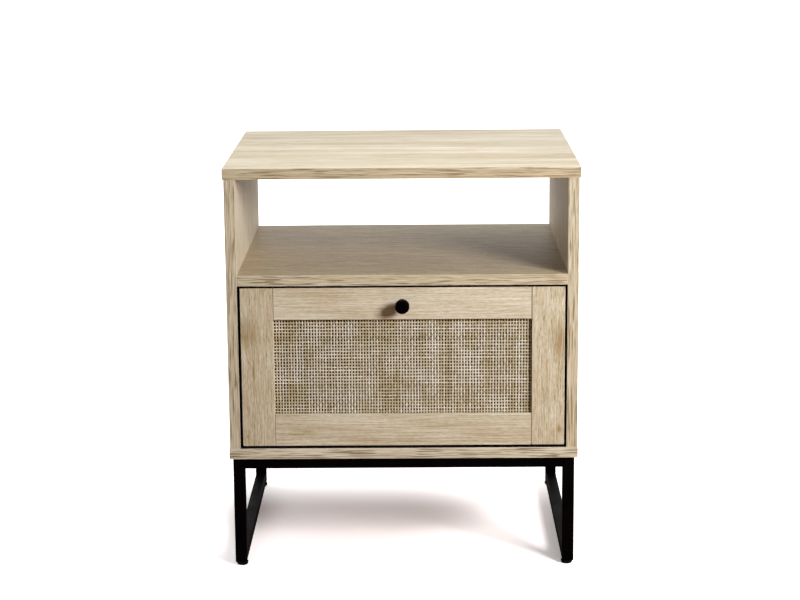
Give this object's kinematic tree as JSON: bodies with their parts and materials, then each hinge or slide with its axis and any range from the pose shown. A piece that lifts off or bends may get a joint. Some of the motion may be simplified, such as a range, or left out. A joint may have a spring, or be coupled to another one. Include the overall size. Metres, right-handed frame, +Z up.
{
  "type": "bedside table",
  "caption": "Bedside table in light oak board with an open shelf over one inset drawer with a woven front panel, on a black square-tube sled base.",
  "frame": {"origin": "middle of the bounding box's bottom, on the floor; the box includes the knob, so the cabinet's middle lies 13 mm behind the origin", "axes": "+Z up, +X to the viewer's right as the viewer faces the drawer, +Y to the back; the drawer front faces -Y"},
  "size_m": [0.48, 0.426, 0.5585],
  "materials": {
    "light_oak": "light oak grain foil on particle board, satin",
    "drawer_board": "pale oak foil on particle board, matt",
    "hardboard": "thin fibreboard, matt",
    "weave": "plain weave of flat whitish grey and tan strands",
    "black_steel": "black powder coat, satin",
    "black_plastic": "black moulded plastic, matt",
    "zinc_plate": "bright zinc plate",
    "beech": "plain turned beech"
  },
  "bodies": {
    "cabinet": {"top_panel": "light_oak", "left_side_panel": "light_oak", "right_side_panel": "light_oak", "middle_shelf": "light_oak", "bottom_panel": "light_oak", "back_panel": "hardboard", "left_cabinet_slide": "zinc_plate", "right_cabinet_slide": "zinc_plate", "front_left_leg": "black_steel", "front_right_leg": "black_steel", "back_left_leg": "black_steel", "back_right_leg": "black_steel", "left_floor_runner": "black_steel", "right_floor_runner": "black_steel", "left_top_bar": "black_steel", "right_top_bar": "black_steel", "front_cross_rail": "black_steel", "back_cross_rail": "black_steel", "top_dowel_front_left": "beech", "top_dowel_front_right": "beech", "top_dowel_back_left": "beech", "top_dowel_back_right": "beech", "shelf_dowel_front_left": "beech", "shelf_dowel_front_right": "beech", "shelf_dowel_back_left": "beech", "shelf_dowel_back_right": "beech", "carcass_screw_front_left": "zinc_plate", "carcass_screw_front_right": "zinc_plate", "carcass_screw_back_left": "zinc_plate", "carcass_screw_back_right": "zinc_plate", "base_screw_front_left": "zinc_plate", "base_screw_front_right": "zinc_plate", "base_screw_back_left": "zinc_plate", "base_screw_back_right": "zinc_plate"},
    "drawer": {"drawer_left_stile": "light_oak", "drawer_right_stile": "light_oak", "drawer_top_rail": "light_oak", "drawer_bottom_rail": "light_oak", "woven_panel": "weave", "woven_backing": "hardboard", "drawer_left_side": "drawer_board", "drawer_right_side": "drawer_board", "drawer_back": "drawer_board", "drawer_bottom": "hardboard", "knob": "black_steel", "knob_screw": "zinc_plate", "drawer_cam_upper_left": "zinc_plate", "drawer_cam_upper_right": "zinc_plate", "drawer_cam_lower_left": "zinc_plate", "drawer_cam_lower_right": "zinc_plate", "left_drawer_slide": "zinc_plate", "right_drawer_slide": "zinc_plate"},
    "left_slide_cage": {"left_ball_cage": "zinc_plate"},
    "right_slide_cage": {"right_ball_cage": "zinc_plate"},
    "front_left_foot": {"front_left_glide": "black_plastic"},
    "front_right_foot": {"front_right_glide": "black_plastic"},
    "back_left_foot": {"back_left_glide": "black_plastic"},
    "back_right_foot": {"back_right_glide": "black_plastic"}
  },
  "joints": [
    {"name": "drawer_slide", "type": "slide", "parent": "cabinet", "child": "drawer", "axis": [0, -1, 0], "range_m": [0, 0.26]},
    {"name": "left_cage_slide", "type": "slide", "parent": "cabinet", "child": "left_slide_cage", "axis": [0, -1, 0], "range_m": [0, 0.13]},
    {"name": "right_cage_slide", "type": "slide", "parent": "cabinet", "child": "right_slide_cage", "axis": [0, -1, 0], "range_m": [0, 0.13]},
    {"name": "front_left_foot_turn", "type": "hinge", "parent": "cabinet", "child": "front_left_foot", "pos_m": [-0.2258, -0.171, 0], "axis": [0, 0, 1], "range_deg": [0, 1800]},
    {"name": "front_right_foot_turn", "type": "hinge", "parent": "cabinet", "child": "front_right_foot", "pos_m": [0.2258, -0.171, 0], "axis": [0, 0, 1], "range_deg": [0, 1800]},
    {"name": "back_left_foot_turn", "type": "hinge", "parent": "cabinet", "child": "back_left_foot", "pos_m": [-0.2258, 0.197, 0], "axis": [0, 0, 1], "range_deg": [0, 1800]},
    {"name": "back_right_foot_turn", "type": "hinge", "parent": "cabinet", "child": "back_right_foot", "pos_m": [0.2258, 0.197, 0], "axis": [0, 0, 1], "range_deg": [0, 1800]}
  ],
  "couplings": [
    {"joint": "left_cage_slide", "follows": "drawer_slide", "ratio": 0.5},
    {"joint": "right_cage_slide", "follows": "drawer_slide", "ratio": 0.5}
  ]
}
